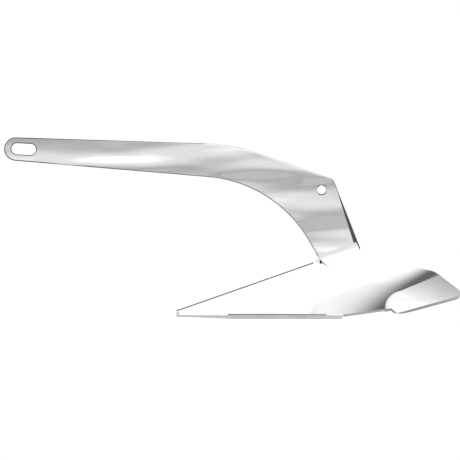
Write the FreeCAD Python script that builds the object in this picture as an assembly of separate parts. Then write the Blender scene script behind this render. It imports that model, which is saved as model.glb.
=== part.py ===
import FreeCAD, Part
import math
import os

# Plough anchor with a fixed shank, welded from polished stainless plate.
#
# Frame: +X runs aft, from the shackle end of the shank to the wings. +Z is up. The anchor is symmetric about
# Y = 0, with its port side at -Y and its starboard side at +Y, as seen by someone who looks along the
# direction of pull (-X). Z = 0 is the underside of the sole plate. All sizes are in millimetres and degrees.

# Shank: one flat bar, drawn in the XZ plane.
SHANK_THICKNESS = 14.0
SHANK_EYE_CENTRE = (-330.5, 261.7)
SHANK_EYE_RADIUS = 18.0
SHANK_TOP_FALL = 1.82
SHANK_TOP_BEND_X = 3.7
SHANK_TOP_BEND_RADIUS = 277.0
SHANK_BACK_FALL = 19.15
SHANK_SHOULDER_X = 159.0
SHANK_SHOULDER_RADIUS = 11.0
SHANK_REAR_LEAN = 21.1
SHANK_HEEL_START_Z = 114.0
SHANK_HEEL_RADIUS = 36.0
SHANK_HEEL_TURN = 15.0
SHANK_LOWER_FALL = 4.85
SHANK_THROAT_START_X = -33.5
SHANK_THROAT_RADIUS = 197.0
SHANK_THROAT_FALL = 59.0
SHANK_FOOT_DEPTH = 14.0
SHANK_EDGE_RADIUS = 2.0
SHANK_ROUNDED_ABOVE_Z = 100.0

# Shackle slot and tripping eye.
SLOT_CENTRE = (-318.3, 261.5)
SLOT_LENGTH = 38.0
SLOT_WIDTH = 17.4
SLOT_FALL = 3.0
SLOT_CHAMFER = 1.2
EYE_CENTRE = (140.6, 198.9)
EYE_RADIUS = 6.8
EYE_CHAMFER = 1.4

# Ground reliefs on the shank: one under the shackle end and one up the rear edge.
RELIEF_START_X = -298.0
RELIEF_PEAK_X = -252.0
RELIEF_END_X = -196.0
RELIEF_HEIGHT = 7.0
RELIEF_DEPTH = 0.5
RELIEF_RUN_OUT = 0.05
REAR_BEVEL_TOP_Z = 196.0
REAR_BEVEL_TOP_WIDTH = 1.6
REAR_BEVEL_FOOT_Z = 74.0
REAR_BEVEL_FOOT_WIDTH = 9.5
REAR_BEVEL_DEPTH = 3.2

# Fluke: a straight ridge with a flat panel on each side, which flares outwards towards the rear.
NOSE_X = -83.0
NOSE_RIDGE_Z = 14.5
NOSE_JOINT_X = -4.0
NOSE_TIP_RADIUS = 4.2
NOSE_RIDGE_RADIUS = 2.0
RIDGE_SLOPE = 0.351
RIDGE_END_X = 199.0
RIDGE_SEAM_HALF_WIDTH = 3.0
RIDGE_SEAM_RADIUS = 0.8
PANEL_ANGLE = 48.6
BLADE_THICKNESS = 5.0
KNEE_AT = (138.0, 35.0)
KNEE_SLOPE = 0.381
KNEE_TURN = 2.6
KNEE_LENGTH = 14.0
FLARE_FRONT_X = 100.0
FLARE_FULL_X = 130.0
FLARE_START_X = 108.0
FLARE_GAIN = 0.068
FLARE_SPAN = 100.0
BLADE_REACH = 190.0
WEDGE_DROP = 120.0
BLADE_REAR_X = 340.0

# Outline of the blade behind the sole, in the XZ plane.
TRAILING_EDGE = (
    (RIDGE_END_X, 111.2),
    (211.2, 104.4),
    (252.8, 88.9),
    (277.4, 82.0),
    (295.9, 77.4),
    (314.4, 72.3),
    (320.7, 68.2),
)
CREASE_FOOT = (236.8, 16.0)
CREASE_KNEE = (243.0, 33.0)
CREASE_BEND = (260.0, 43.2)
CREASE_HEAD = TRAILING_EDGE[-1]
BLADE_HEEL = (174.0, 7.2)

# Wing: the turned-down outer plate behind the crease.
WING_THICKNESS = 6.0
WING_NOTCH = (246.0, 20.5)
WING_FRONT_INSET = 1.0
WING_FRONT_CLEAR = 10.0
WING_TOE = (254.3, 9.3)
WING_TOE_Y = 114.0
WING_TIP = (358.9, 38.4)
WING_TIP_Y = 141.0
WING_TIP_UPPER_RADIUS = 4.5
WING_TIP_LOWER_RADIUS = 8.0
WING_END_X = 352.0
WING_STATIONS = 24
WING_ROWS = 8
WING_WELD_START = 3

# Sole plate and what it closes in.
SOLE_THICKNESS = 6.0
SOLE_REAR_X = 174.5
SOLE_FLAT_X = 12.0
SOLE_TOE_RISE = 3.2
SOLE_OVERHANG = 2.4
SOLE_END_CHAMFER = 4.8
BULKHEAD_X = 90.0
BULKHEAD_THICKNESS = 5.0

# Welds.
ROOT_WELD_RISE = 6.8
ROOT_WELD_WIDTH = 10.5
ROOT_WELD_HOLLOW = 1.8
ROOT_WELD_LEAD = 9.5
ROOT_WELD_CLIMB = 11.4
ROOT_WELD_HOLLOW_DROP = 0.7
ROOT_WELD_DEPTH = 12.0
ROOT_WELD_MITRE = 0.75
ROOT_WELD_STOP = 0.5
SOLE_WELD_RISE = 2.2
SOLE_WELD_WIDTH = 2.1
SOLE_WELD_STOP = 1.0
BULKHEAD_WELD_LEG = 4.0
NOSE_WELD_LENGTH = 4.0

# The outline is drawn from a station near mid-length. The finished pieces move along X by this much, so
# that the origin is at the middle of the overall length.
MID_LENGTH_SHIFT = -(SHANK_EYE_CENTRE[0] - SHANK_EYE_RADIUS + WING_END_X) / 2.0

# Cutting tools reach this far past what they cut, and surfaces are sampled at these steps.
REACH = 400.0
CUT_CLEAR = 30.0
GRID_STEP_X = 8.0
GRID_STEP_S = 5.0
INTEGRATION_STEP = 1.0
SLOPE_STEP = 1.0

TAN_PANEL = math.tan(math.radians(PANEL_ANGLE))
UP_OUTSIDE = 1.0 / math.cos(math.radians(PANEL_ANGLE))
# A panel leans back as well as outwards, so its vertical depth is measured with its full slope.
PANEL_DEPTH = BLADE_THICKNESS * math.sqrt(1.0 + TAN_PANEL ** 2 + RIDGE_SLOPE ** 2)


def vec(x, y, z):
    return FreeCAD.Vector(x, y, z)


def side(point, y=0.0):
    """A point of the XZ outline, placed at the given Y."""
    return FreeCAD.Vector(point[0], y, point[1])


def falling(angle):
    """Unit XZ direction that runs aft and falls by the given angle."""
    radians = math.radians(angle)
    return (math.cos(radians), -math.sin(radians))


def step_along(point, direction, length):
    return (point[0] + direction[0] * length, point[1] + direction[1] * length)


def smooth(t):
    """Cubic ease from 0 to 1."""
    t = max(0.0, min(1.0, t))
    return t * t * (3.0 - 2.0 * t)


def ridge_z(x):
    return NOSE_RIDGE_Z + RIDGE_SLOPE * (x - NOSE_X)


def polyline(points):
    return [Part.LineSegment(a, b).toShape() for a, b in zip(points, points[1:])]


def polygon_face(points):
    return Part.Face(Part.makePolygon(list(points) + [points[0]]))


def side_prism(points, y0, y1):
    """Solid with an XZ polygon as its outline, between two Y planes."""
    return polygon_face([side(p, y0) for p in points]).extrude(vec(0, y1 - y0, 0))


def slab(x0, x1, y0, y1, z0, z1):
    return Part.makeBox(x1 - x0, y1 - y0, z1 - z0, vec(x0, y0, z0))


def half_space(point, normal):
    """Large block on the side of a plane that its normal points to."""
    block = Part.makeBox(2 * REACH, 2 * REACH, 2 * REACH, vec(-REACH, -REACH, 0))
    turn = FreeCAD.Rotation(vec(0, 0, 1), normal)
    block.Placement = FreeCAD.Placement(point, turn)
    return block


def mirrored(shape):
    """The same piece on the other side of the anchor."""
    return shape.mirror(vec(0, 0, 0), vec(0, 1, 0))


# ---------------------------------------------------------------------------------------------- shank


def top_bend_point():
    """Corner between the straight top edge and the falling back edge, in the XZ plane."""
    run = falling(SHANK_TOP_FALL)
    start = step_along(SHANK_EYE_CENTRE, (-run[1], run[0]), SHANK_EYE_RADIUS)
    return step_along(start, run, (SHANK_TOP_BEND_X - start[0]) / run[0])


def shoulder_point():
    """Corner between the back edge and the rear edge, in the XZ plane."""
    run = falling(SHANK_BACK_FALL)
    bend = top_bend_point()
    return step_along(bend, run, (SHANK_SHOULDER_X - bend[0]) / run[0])


def shank_outline():
    """Closed XZ wire of the bar, from the round shackle end to the foot."""
    top_run = falling(SHANK_TOP_FALL)
    lower_run = falling(SHANK_LOWER_FALL)
    back_run = falling(SHANK_BACK_FALL)
    throat_run = falling(SHANK_THROAT_FALL)
    rear_run = falling(90.0 - SHANK_REAR_LEAN)
    top_start = step_along(SHANK_EYE_CENTRE, (-top_run[1], top_run[0]), SHANK_EYE_RADIUS)
    lower_start = step_along(SHANK_EYE_CENTRE, (lower_run[1], -lower_run[0]), SHANK_EYE_RADIUS)
    eye_tip = (SHANK_EYE_CENTRE[0] - SHANK_EYE_RADIUS, SHANK_EYE_CENTRE[1])
    top_bend = top_bend_point()
    shoulder = shoulder_point()
    heel = step_along(shoulder, rear_run, (SHANK_HEEL_START_Z - shoulder[1]) / rear_run[1])
    heel_mid = arc_point(heel, 90.0 - SHANK_REAR_LEAN, -SHANK_HEEL_TURN / 2, SHANK_HEEL_RADIUS)
    heel_end = arc_point(heel, 90.0 - SHANK_REAR_LEAN, -SHANK_HEEL_TURN, SHANK_HEEL_RADIUS)
    heel_run = falling(90.0 - SHANK_REAR_LEAN - SHANK_HEEL_TURN)
    heel_drop = heel_end[1] - ridge_z(heel_end[0]) + SHANK_FOOT_DEPTH
    foot_rear = step_along(heel_end, heel_run, heel_drop / (RIDGE_SLOPE * heel_run[0] - heel_run[1]))
    throat = step_along(lower_start, lower_run, (SHANK_THROAT_START_X - lower_start[0]) / lower_run[0])
    throat_turn = SHANK_THROAT_FALL - SHANK_LOWER_FALL
    throat_mid = arc_point(throat, SHANK_LOWER_FALL, throat_turn / 2, SHANK_THROAT_RADIUS)
    throat_end = arc_point(throat, SHANK_LOWER_FALL, throat_turn, SHANK_THROAT_RADIUS)
    foot_drop = throat_end[1] - ridge_z(throat_end[0]) + SHANK_FOOT_DEPTH
    foot_front = step_along(throat_end, throat_run, foot_drop / (RIDGE_SLOPE * throat_run[0] - throat_run[1]))
    bend_in, bend_mid, bend_out = corner_arc(top_bend, top_run, back_run, SHANK_TOP_BEND_RADIUS)
    shoulder_in, shoulder_mid, shoulder_out = corner_arc(shoulder, back_run, rear_run, SHANK_SHOULDER_RADIUS)
    edges = [
        arc(lower_start, eye_tip, top_start),
        line(top_start, bend_in),
        arc(bend_in, bend_mid, bend_out),
        line(bend_out, shoulder_in),
        arc(shoulder_in, shoulder_mid, shoulder_out),
        line(shoulder_out, heel),
        arc(heel, heel_mid, heel_end),
        line(heel_end, foot_rear),
        line(foot_rear, foot_front),
        line(foot_front, throat_end),
        arc(throat_end, throat_mid, throat),
        line(throat, lower_start),
    ]
    return Part.Wire(edges)


def line(a, b):
    return Part.LineSegment(side(a), side(b)).toShape()


def arc(a, b, c):
    return Part.Arc(side(a), side(b), side(c)).toShape()


def arc_point(start, fall, turn, radius):
    """End of an arc that starts along a falling direction and turns by an angle, down if it is positive."""
    sense = math.copysign(1.0, turn)
    begin = math.radians(fall)
    end = math.radians(fall + turn)
    dx = radius * (math.sin(end) - math.sin(begin)) * sense
    dz = radius * (math.cos(end) - math.cos(begin)) * sense
    return (start[0] + dx, start[1] + dz)


def corner_arc(corner, run_in, run_out, radius):
    """Start, middle and end of the arc that rounds a corner between two runs."""
    dot = run_in[0] * run_out[0] + run_in[1] * run_out[1]
    half = math.acos(dot) / 2
    setback = radius * math.tan(half)
    start = step_along(corner, run_in, -setback)
    end = step_along(corner, run_out, setback)
    inward = (run_out[0] - run_in[0], run_out[1] - run_in[1])
    size = math.hypot(inward[0], inward[1])
    middle = step_along(corner, (inward[0] / size, inward[1] / size), radius / math.cos(half) - radius)
    return start, middle, end


def slot_wire(length, width):
    """Round-ended slot about the origin in the XZ plane."""
    radius = width / 2
    reach = length / 2 - radius
    edges = [
        line((-reach, radius), (reach, radius)),
        arc((reach, radius), (reach + radius, 0), (reach, -radius)),
        line((reach, -radius), (-reach, -radius)),
        arc((-reach, -radius), (-reach - radius, 0), (-reach, radius)),
    ]
    return Part.Wire(edges)


def chamfered_cut(inner, outer, chamfer, placement):
    """Through cut along Y with a chamfered mouth on both faces of the bar."""
    half = SHANK_THICKNESS / 2
    through = Part.Face(inner.copy()).extrude(vec(0, 2 * half + 2, 0))
    through.translate(vec(0, -half - 1, 0))
    cut = through
    for face_sign in (-1, 1):
        mouth = outer.copy()
        mouth.translate(vec(0, face_sign * half, 0))
        throat = inner.copy()
        throat.translate(vec(0, face_sign * (half - chamfer), 0))
        cut = cut.fuse(Part.makeLoft([throat, mouth], True, True))
    cut.Placement = placement
    return cut


def circle_wire(radius):
    return Part.Wire(Part.Circle(vec(0, 0, 0), vec(0, 1, 0), radius).toShape())


def slot_cut():
    grow = 2 * SLOT_CHAMFER
    turn = FreeCAD.Rotation(vec(0, 1, 0), SLOT_FALL)
    placement = FreeCAD.Placement(side(SLOT_CENTRE), turn)
    inner = slot_wire(SLOT_LENGTH, SLOT_WIDTH)
    outer = slot_wire(SLOT_LENGTH + grow, SLOT_WIDTH + grow)
    return chamfered_cut(inner, outer, SLOT_CHAMFER, placement)


def eye_cut():
    placement = FreeCAD.Placement(side(EYE_CENTRE), FreeCAD.Rotation())
    inner = circle_wire(EYE_RADIUS)
    outer = circle_wire(EYE_RADIUS + EYE_CHAMFER)
    return chamfered_cut(inner, outer, EYE_CHAMFER, placement)


def lower_edge_z(x):
    lower_run = falling(SHANK_LOWER_FALL)
    start = step_along(SHANK_EYE_CENTRE, (lower_run[1], -lower_run[0]), SHANK_EYE_RADIUS)
    return start[1] + (x - start[0]) * lower_run[1] / lower_run[0]


def relief_section(x, size):
    """Triangle that takes the lower corner off the bar at one station."""
    half = SHANK_THICKNESS / 2
    edge = lower_edge_z(x)
    clear = 1.0
    points = [
        vec(x, half + 0.01, edge + RELIEF_HEIGHT * size),
        vec(x, half - RELIEF_DEPTH * size, edge - clear),
        vec(x, half + clear, edge - clear),
    ]
    return Part.makePolygon(points + [points[0]])


def lower_relief():
    """Ground relief on the lower corner: deepest in the middle and run out at both ends."""
    sizes = ((RELIEF_START_X, RELIEF_RUN_OUT), (RELIEF_PEAK_X, 1.0), (RELIEF_END_X, RELIEF_RUN_OUT))
    stations = [relief_section(x, size) for x, size in sizes]
    return Part.makeLoft(stations, True, True)


def rear_bevel():
    """Bevel up the rear edge, one flat cut that widens towards the foot."""
    half = SHANK_THICKNESS / 2
    rear_run = falling(90.0 - SHANK_REAR_LEAN)
    outward = (-rear_run[1], rear_run[0])
    shoulder = shoulder_point()
    sections = []
    for z, width in ((REAR_BEVEL_TOP_Z, REAR_BEVEL_TOP_WIDTH), (REAR_BEVEL_FOOT_Z, REAR_BEVEL_FOOT_WIDTH)):
        edge = step_along(shoulder, rear_run, (z - shoulder[1]) / rear_run[1])
        inner = step_along(edge, outward, -width)
        outer = step_along(edge, outward, CUT_CLEAR)
        deep = half - REAR_BEVEL_DEPTH * (width + CUT_CLEAR) / REAR_BEVEL_FOOT_WIDTH
        above = half + CUT_CLEAR
        points = [side(inner, half), side(outer, deep), side(outer, above), side(inner, above)]
        sections.append(Part.makePolygon(points + [points[0]]))
    return Part.makeLoft(sections, True, True)


def ridge_wedge():
    """Everything under the two flat panels, with the ridge as its top line."""
    low = ridge_z(NOSE_X) - WEDGE_DROP
    run_out = WEDGE_DROP / TAN_PANEL
    section = [vec(NOSE_X, 0, ridge_z(NOSE_X)), vec(NOSE_X, run_out, low), vec(NOSE_X, -run_out, low)]
    length = BLADE_REACH + RIDGE_END_X - NOSE_X
    return polygon_face(section).extrude(vec(length, 0, length * RIDGE_SLOPE))


def shank():
    """Bar with rounded long edges, the shackle slot, the tripping eye and a notched foot."""
    half = SHANK_THICKNESS / 2
    face = Part.Face(shank_outline())
    bar = face.extrude(vec(0, SHANK_THICKNESS, 0))
    bar.translate(vec(0, -half, 0))
    long_edges = []
    for edge in bar.Edges:
        box = edge.BoundBox
        lies_in_a_side = box.YLength < half
        if lies_in_a_side and box.Center.z > SHANK_ROUNDED_ABOVE_Z:
            long_edges.append(edge)
    bar = bar.makeFillet(SHANK_EDGE_RADIUS, long_edges)
    bar = bar.cut(slot_cut()).cut(eye_cut())
    for tool in (lower_relief(), rear_bevel()):
        bar = bar.cut(tool).cut(mirrored(tool))
    return solid_of(bar.cut(ridge_wedge()))


# ---------------------------------------------------------------------------------------------- fluke


def knee_distance(x):
    """Distance down the section from the ridge to the line where the flat panel starts to curve."""
    knee_z = KNEE_AT[1] + KNEE_SLOPE * (x - KNEE_AT[0])
    return (ridge_z(x) - knee_z) / math.sin(math.radians(PANEL_ANGLE))


def blade_fall(x, s):
    """Slope of the blade's cross-section, in radians, at a distance s down from the ridge."""
    past = s - knee_distance(x)
    turn = KNEE_TURN * smooth(past / KNEE_LENGTH)
    rate = FLARE_GAIN * (max(0.0, x - FLARE_START_X) / FLARE_SPAN) ** 2
    turn += rate * max(0.0, past - KNEE_LENGTH / 2)
    flare = smooth((x - FLARE_FRONT_X) / (FLARE_FULL_X - FLARE_FRONT_X))
    return math.radians(PANEL_ANGLE - flare * turn)


def blade_section(x, stations):
    """Points of the outer surface at one X, at rising distances down from the ridge."""
    points = []
    y = stations[0] * math.cos(math.radians(PANEL_ANGLE))
    z = ridge_z(x) - stations[0] * math.sin(math.radians(PANEL_ANGLE))
    s = stations[0]
    for target in stations:
        count = max(1, math.ceil((target - s) / INTEGRATION_STEP))
        step = (target - s) / count
        for _ in range(count):
            fall = blade_fall(x, s + step / 2)
            y += step * math.cos(fall)
            z -= step * math.sin(fall)
            s += step
        points.append(vec(x, y, z))
    return points


def blade_y(x, z):
    """Half-width of the outer surface at a height, for one X."""
    y = 0.0
    height = ridge_z(x)
    s = 0.0
    while height > z:
        fall = blade_fall(x, s)
        step = min(INTEGRATION_STEP, (height - z) / math.sin(fall) + 1e-6)
        y += step * math.cos(fall)
        height -= step * math.sin(fall)
        s += step
    return y


def evenly(start, end, step):
    count = math.ceil((end - start) / step)
    return [start + (end - start) * i / count for i in range(count + 1)]


def grid_normal(grid, i, j):
    """Outward unit normal at a node of a grid of points."""
    along = grid[min(i + 1, len(grid) - 1)][j] - grid[max(i - 1, 0)][j]
    down = grid[i][min(j + 1, len(grid[i]) - 1)] - grid[i][max(j - 1, 0)]
    normal = along.cross(down)
    if normal.y + normal.z < 0:
        normal = -normal
    return normal.normalize()


def surface_face(grid):
    surface = Part.BSplineSurface()
    surface.interpolate(grid)
    return surface


def plate_between(outer, inner):
    """Solid plate between two grids of points."""
    top = surface_face(outer)
    bottom = surface_face(inner)
    faces = [top.toShape(), bottom.toShape()]
    u0, u1, v0, v1 = top.bounds()
    p0, p1, q0, q1 = bottom.bounds()
    pairs = [
        (top.uIso(u0), bottom.uIso(p0)),
        (top.uIso(u1), bottom.uIso(p1)),
        (top.vIso(v0), bottom.vIso(q0)),
        (top.vIso(v1), bottom.vIso(q1)),
    ]
    for upper, lower in pairs:
        faces.append(Part.makeRuledSurface(upper.toShape(), lower.toShape()))
    shell = Part.Shell(faces)
    shell.sewShape()
    return outward(Part.makeSolid(shell))


def blade_sheet():
    """Untrimmed starboard blade: the flat panel and its flare, at full thickness."""
    start_s = -BLADE_THICKNESS
    stations = evenly(start_s, BLADE_REACH, GRID_STEP_S)
    frames = evenly(NOSE_JOINT_X - GRID_STEP_X, BLADE_REAR_X, GRID_STEP_X)
    outer = [blade_section(x, stations) for x in frames]
    inner = []
    for i, row in enumerate(outer):
        inner.append([point - grid_normal(outer, i, j) * BLADE_THICKNESS for j, point in enumerate(row)])
    return plate_between(outer, inner)


def crease_edges(y):
    """The crease's outline in the XZ plane, from its foot to its head: an arc and a straight run."""
    bend = Part.Arc(side(CREASE_FOOT, y), side(CREASE_KNEE, y), side(CREASE_BEND, y)).toShape()
    run = Part.LineSegment(side(CREASE_BEND, y), side(CREASE_HEAD, y)).toShape()
    return [bend, run]


def blade_outline():
    """Prism that trims the blade to its side outline."""
    front = NOSE_JOINT_X + NOSE_WELD_LENGTH
    corner = [(front, SOLE_THICKNESS), (front, ridge_z(front) + CUT_CLEAR)]
    top = [side(p) for p in corner + [(RIDGE_END_X, ridge_z(RIDGE_END_X) + CUT_CLEAR), TRAILING_EDGE[0]]]
    trailing = Part.BSplineCurve()
    trailing.interpolate([side(p) for p in TRAILING_EDGE])
    low = [(CREASE_FOOT[0], 0.0), (BLADE_HEEL[0], 0.0), (BLADE_HEEL[0], SOLE_THICKNESS)]
    bottom = [side(p) for p in [CREASE_FOOT] + low + [corner[0]]]
    edges = polyline(top) + [trailing.toShape()] + crease_edges(0.0)[::-1] + polyline(bottom)
    wire = Part.Wire(Part.__sortEdges__(edges))
    return Part.Face(wire).extrude(vec(0, REACH, 0))


def lower_edge_cut():
    """Block below the blade's free lower edge, square to the plate."""
    heel = vec(BLADE_HEEL[0], blade_y(*BLADE_HEEL), BLADE_HEEL[1])
    foot = vec(CREASE_FOOT[0], blade_y(*CREASE_FOOT), CREASE_FOOT[1])
    along = foot - heel
    middle = (BLADE_HEEL[0] + CREASE_FOOT[0]) / 2
    height = (BLADE_HEEL[1] + CREASE_FOOT[1]) / 2
    reach = BLADE_THICKNESS
    across = vec(middle, blade_y(middle, height + reach), height + reach)
    across -= vec(middle, blade_y(middle, height - reach), height - reach)
    normal = along.cross(across)
    cut_normal = along.cross(normal)
    if cut_normal.z > 0:
        cut_normal = -cut_normal
    block = half_space(heel, cut_normal)
    return block.common(slab(BLADE_HEEL[0], CREASE_FOOT[0] + CUT_CLEAR, 0.0, REACH, -REACH, REACH))


def blade():
    """Starboard blade, trimmed to its outline."""
    plate = blade_sheet().common(blade_outline())
    plate = plate.cut(slab(-REACH, REACH, -REACH, RIDGE_SEAM_HALF_WIDTH, -REACH, REACH))
    return solid_of(plate.cut(lower_edge_cut()))


def solid_of(shape):
    """The largest solid of a boolean result."""
    return max(shape.Solids, key=lambda solid: solid.Volume)


def outward(solid):
    """The solid with its faces turned outwards."""
    if solid.Volume < 0:
        solid.reverse()
    return solid


def surface_normal(x, z):
    """Outward unit normal of the blade where it has this X and height."""
    reach = SLOPE_STEP
    slope_x = (blade_y(x + reach, z) - blade_y(x - reach, z)) / (2 * reach)
    slope_z = (blade_y(x, z + reach) - blade_y(x, z - reach)) / (2 * reach)
    return vec(-slope_x, 1.0, -slope_z).normalize()


def crease_points():
    """Points of the outer surface along the crease, from its foot to its head."""
    wire = Part.Wire(crease_edges(0.0))
    return [vec(p.x, blade_y(p.x, p.z), p.z) for p in wire.discretize(Number=WING_STATIONS + 1)]


def wing_outer_edge():
    """Points along the wing's lower edge, from its toe to its tip."""
    toe = side(WING_TOE, WING_TOE_Y)
    tip = side(WING_TIP, WING_TIP_Y)
    return [toe + (tip - toe) * (i / WING_STATIONS) for i in range(WING_STATIONS + 1)]


def wing_grids():
    """Grids of points on the wing's outer and inner surfaces, ruled from the crease to the lower edge."""
    outer = []
    for start, end in zip(crease_points(), wing_outer_edge()):
        outer.append([start + (end - start) * (j / WING_ROWS) for j in range(WING_ROWS + 1)])
    inner = []
    for i, row in enumerate(outer):
        inner.append([point - grid_normal(outer, i, j) * WING_THICKNESS for j, point in enumerate(row)])
    return outer, inner


def wing():
    """Starboard wing with a notched toe and a rounded tip."""
    outer, inner = wing_grids()
    plate = plate_between(outer, inner)
    normal = grid_normal(outer, 1, WING_ROWS // 2)
    foot = outer[0][0]
    toe = outer[0][-1]
    share = (WING_NOTCH[0] - foot.x) / (toe.x - foot.x)
    notch = side(WING_NOTCH, foot.y + (toe.y - foot.y) * share)
    inset = vec(WING_FRONT_INSET, 0.0, 0.0)
    upper = foot + inset + (foot + inset - notch)
    lower = toe + inset + (toe + inset - notch)
    ahead = vec(-2.0 * WING_FRONT_CLEAR, 0.0, 0.0)
    reach = 3.0 * WING_THICKNESS
    base = [p + normal * reach for p in (upper, notch, lower, lower + ahead, upper + ahead)]
    plate = solid_of(plate.cut(polygon_face(flattened(base, normal)).extrude(normal * (-2.0 * reach))))
    plate = solid_of(plate.cut(slab(WING_END_X, REACH, 0.0, REACH, -REACH, REACH)))
    plate = round_tip_corner(plate, normal, max, WING_TIP_UPPER_RADIUS)
    return round_tip_corner(plate, normal, min, WING_TIP_LOWER_RADIUS)


def round_tip_corner(plate, normal, pick, radius):
    """Wing with the upper or the lower corner of its end face rounded; pick is max or min."""
    end = max(plate.Faces, key=lambda face: face.CenterOfMass.x)
    short = [edge for edge in end.Edges if edge.Length < 2.0 * WING_THICKNESS]
    corners = [edge for edge in short if square_to(end, edge, normal)]
    corner = pick(corners, key=lambda edge: edge.CenterOfMass.z)
    return solid_of(plate.makeFillet(radius, [corner]))


def square_to(face, edge, normal):
    """Whether an edge of a cut face runs through the plate's thickness."""
    run = edge.Vertexes[-1].Point - edge.Vertexes[0].Point
    flat = normal - vec(normal.x, 0, 0)
    return abs(run.normalize().dot(flat.normalize())) > 0.7


def flattened(points, normal):
    """The points moved along the normal into the plane of the first."""
    return [p - normal * (p - points[0]).dot(normal) for p in points]


def wing_weld():
    """Weld in the groove under the crease, between the blade's edge and the wing's."""
    outer, inner = wing_grids()
    sections = []
    for row, under in zip(outer[WING_WELD_START:], inner[WING_WELD_START:]):
        crease = row[0]
        wall = BLADE_THICKNESS / surface_normal(crease.x, crease.z).y
        sections.append(Part.makePolygon([crease, under[0], crease - vec(0, wall, 0), crease]))
    return outward(Part.makeLoft(sections, True, True))


# ------------------------------------------------------------------------------------- nose and sole


def nose_round(radius):
    """What lies ahead of a nose that is rounded in plan."""
    front = slab(NOSE_X - CUT_CLEAR, NOSE_X + radius, -REACH, REACH, -REACH, REACH)
    post = Part.makeCylinder(radius, 2 * REACH, vec(NOSE_X + radius, 0, -REACH))
    return front.cut(post)


def nose_point():
    """Solid toe between the blades, with a blunt rounded tip and a dressed ridge."""
    wedge = ridge_wedge()
    ridge = max(wedge.Edges, key=lambda edge: edge.CenterOfMass.z)
    wedge = wedge.makeFillet(NOSE_RIDGE_RADIUS, [ridge])
    body = wedge.common(slab(NOSE_X, NOSE_JOINT_X, -REACH, REACH, SOLE_THICKNESS, REACH))
    return solid_of(body.cut(nose_round(NOSE_TIP_RADIUS)))


def inner_wedge():
    """Everything under the inner faces of the two flat panels."""
    wedge = ridge_wedge()
    wedge.translate(vec(0, 0, -PANEL_DEPTH))
    return wedge


def ballast():
    """Cast weight that fills the toe from the solid nose to the bulkhead."""
    start = NOSE_JOINT_X + NOSE_WELD_LENGTH
    return solid_of(inner_wedge().common(slab(start, BULKHEAD_X, -REACH, REACH, SOLE_THICKNESS, REACH)))


def bulkhead():
    """Plate that closes the ballast space."""
    rear = BULKHEAD_X + BULKHEAD_THICKNESS
    return solid_of(inner_wedge().common(slab(BULKHEAD_X, rear, -REACH, REACH, SOLE_THICKNESS, REACH)))


def nose_seam():
    """Weld between the nose and the blades, as deep as the plate."""
    end = NOSE_JOINT_X + NOSE_WELD_LENGTH
    band = ridge_wedge().common(slab(NOSE_JOINT_X, end, -REACH, REACH, SOLE_THICKNESS, REACH))
    return solid_of(band.cut(inner_wedge()))


def ridge_seam():
    """Weld that joins the two blades along the ridge, as deep as the plate."""
    half = RIDGE_SEAM_HALF_WIDTH
    start = NOSE_JOINT_X + NOSE_WELD_LENGTH
    band = ridge_wedge()
    ridge = max(band.Edges, key=lambda edge: edge.CenterOfMass.z)
    band = band.makeFillet(RIDGE_SEAM_RADIUS, [ridge])
    band = band.common(slab(start, RIDGE_END_X, -half, half, -REACH, REACH))
    return solid_of(band.cut(inner_wedge()))


def sole_outline():
    """Plan wire of the sole plate: straight forward sides and gently curved rear ones."""
    stations = [BULKHEAD_X] + evenly(BULKHEAD_X + GRID_STEP_X, SOLE_REAR_X, 2 * GRID_STEP_X)
    rear = [vec(x, blade_y(x, SOLE_THICKNESS) + SOLE_OVERHANG, 0) for x in stations]
    nose = vec(NOSE_X, (ridge_z(NOSE_X) - SOLE_THICKNESS) / TAN_PANEL + SOLE_OVERHANG, 0)
    edges = []
    for sense in (1, -1):
        curve = Part.BSplineCurve()
        curve.interpolate([vec(p.x, sense * p.y, 0) for p in rear])
        edges.append(curve.toShape())
        front = vec(nose.x, sense * nose.y, 0)
        edges.append(Part.LineSegment(front, vec(rear[0].x, sense * rear[0].y, 0)).toShape())
    for end in (nose, rear[-1]):
        edges.append(Part.LineSegment(vec(end.x, -end.y, 0), end).toShape())
    return Part.Wire(Part.__sortEdges__(edges))


def sole_plate():
    """Flat plate under the blades, thinned at the toe and chamfered at its rear end."""
    plan = Part.Face(sole_outline()).extrude(vec(0, 0, SOLE_THICKNESS))
    profile = [
        (NOSE_X, SOLE_THICKNESS),
        (NOSE_X, SOLE_TOE_RISE),
        (SOLE_FLAT_X, 0.0),
        (SOLE_REAR_X - SOLE_END_CHAMFER, 0.0),
        (SOLE_REAR_X, SOLE_END_CHAMFER),
        (SOLE_REAR_X, SOLE_THICKNESS),
    ]
    plate = plan.common(side_prism(profile, -REACH, REACH))
    return solid_of(plate.cut(nose_round(NOSE_TIP_RADIUS + SOLE_OVERHANG)))


# --------------------------------------------------------------------------------------------- welds


def root_front():
    """Where the shank's throat edge meets the ridge, in the XZ plane."""
    edge = shank_outline().OrderedVertexes
    foot = min((v.Point for v in edge), key=lambda p: p.z)
    run = falling(SHANK_THROAT_FALL)
    rise = (ridge_z(foot.x) - foot.z) / (-run[1] + RIDGE_SLOPE * run[0])
    return step_along((foot.x, foot.z), run, -rise)


def root_front_profile():
    """Concave XZ outline of the weld ahead of the shank's foot."""
    corner = root_front()
    ahead = (corner[0] - ROOT_WELD_LEAD, ridge_z(corner[0] - ROOT_WELD_LEAD))
    up = step_along(corner, falling(SHANK_THROAT_FALL), -ROOT_WELD_CLIMB)
    middle_x = (ahead[0] + up[0]) / 2 + ROOT_WELD_HOLLOW
    middle_z = (ahead[1] + up[1]) / 2 - ROOT_WELD_HOLLOW_DROP
    middle = (middle_x, middle_z)
    deep = (corner[0], corner[1] - ROOT_WELD_DEPTH)
    under = (ahead[0], ahead[1] - ROOT_WELD_DEPTH)
    buried = [line(up, corner), line(corner, deep), line(deep, under), line(under, ahead)]
    return [arc(ahead, middle, up)] + buried


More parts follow.
